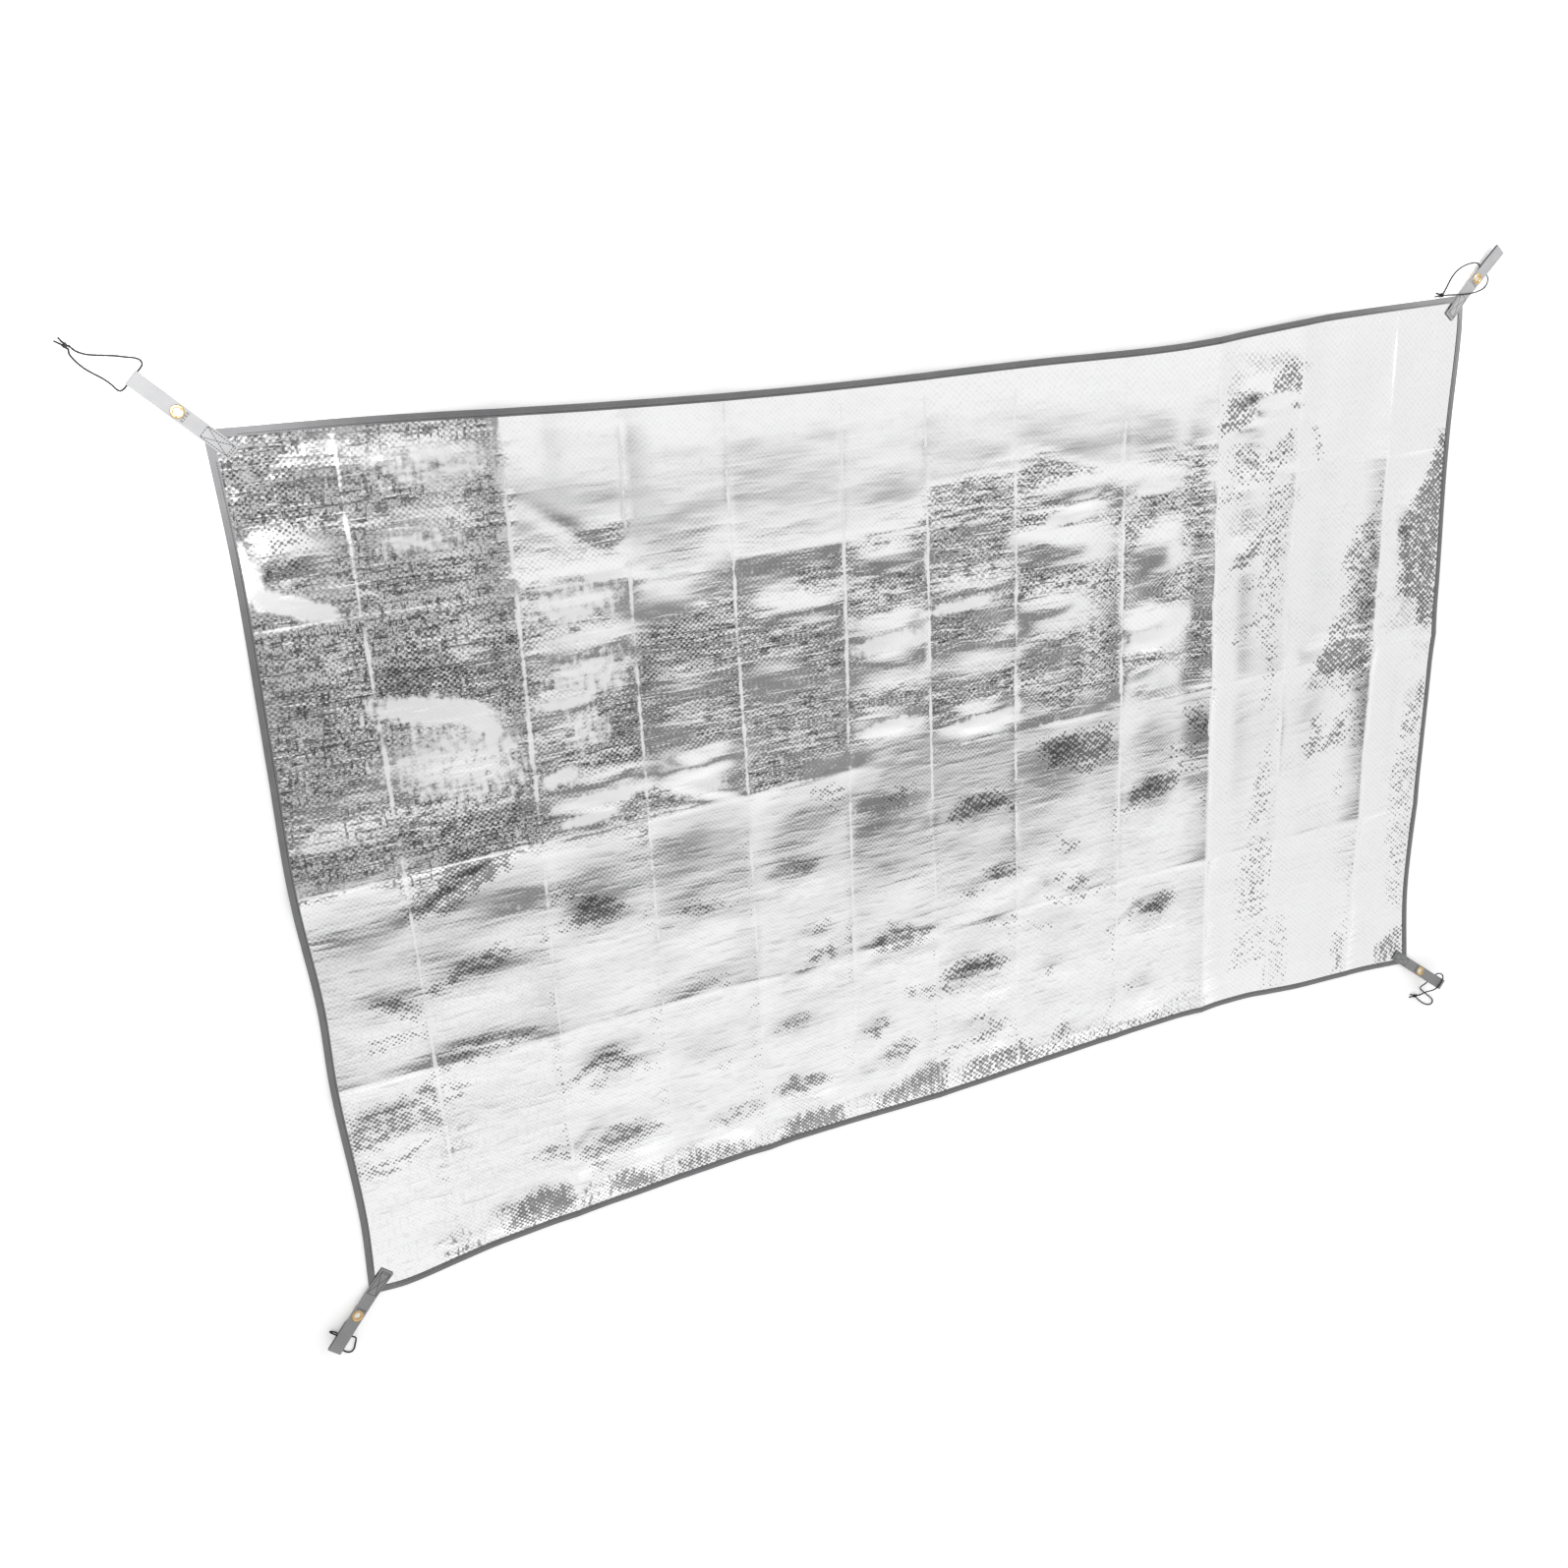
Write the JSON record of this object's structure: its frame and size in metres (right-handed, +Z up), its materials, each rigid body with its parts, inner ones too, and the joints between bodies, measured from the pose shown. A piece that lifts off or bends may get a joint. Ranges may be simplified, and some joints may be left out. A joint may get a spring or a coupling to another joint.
{
  "type": "thermal ground mat",
  "caption": "Thin foil-faced ground mat lying flat with its packing creases, bound grey edges, and at each corner a webbing strap with an eyelet and a knotted cord loop.",
  "frame": {"origin": "middle of the mat on the floor, where the sheet's underside lies flat", "axes": "+X along the length to the right, +Y across the width to the back, +Z up"},
  "size_m": [2.2192, 1.471, 0.0322],
  "materials": {
    "foil": "crinkled silver foil face on a woven sheet",
    "binding": "matt ribbed grey tape",
    "webbing": "matt ribbed grey webbing",
    "eyelet": "pale polished brass",
    "cord": "matt dark braid"
  },
  "bodies": {
    "root": {"mat_sheet": "foil", "binding_front": "binding", "binding_back": "binding", "binding_left": "binding", "binding_right": "binding", "strap_back_left": "webbing", "strap_back_right": "webbing", "strap_front_right": "webbing", "strap_front_left": "webbing", "eyelet_back_left": "eyelet", "eyelet_back_right": "eyelet", "eyelet_front_right": "eyelet", "eyelet_front_left": "eyelet", "cord_back_left": "cord", "cord_back_right": "cord", "cord_front_right": "cord", "cord_front_left": "cord", "knot_back_left": "cord", "knot_back_right": "cord", "knot_front_right": "cord", "knot_front_left": "cord"}
  },
  "joints": []
}
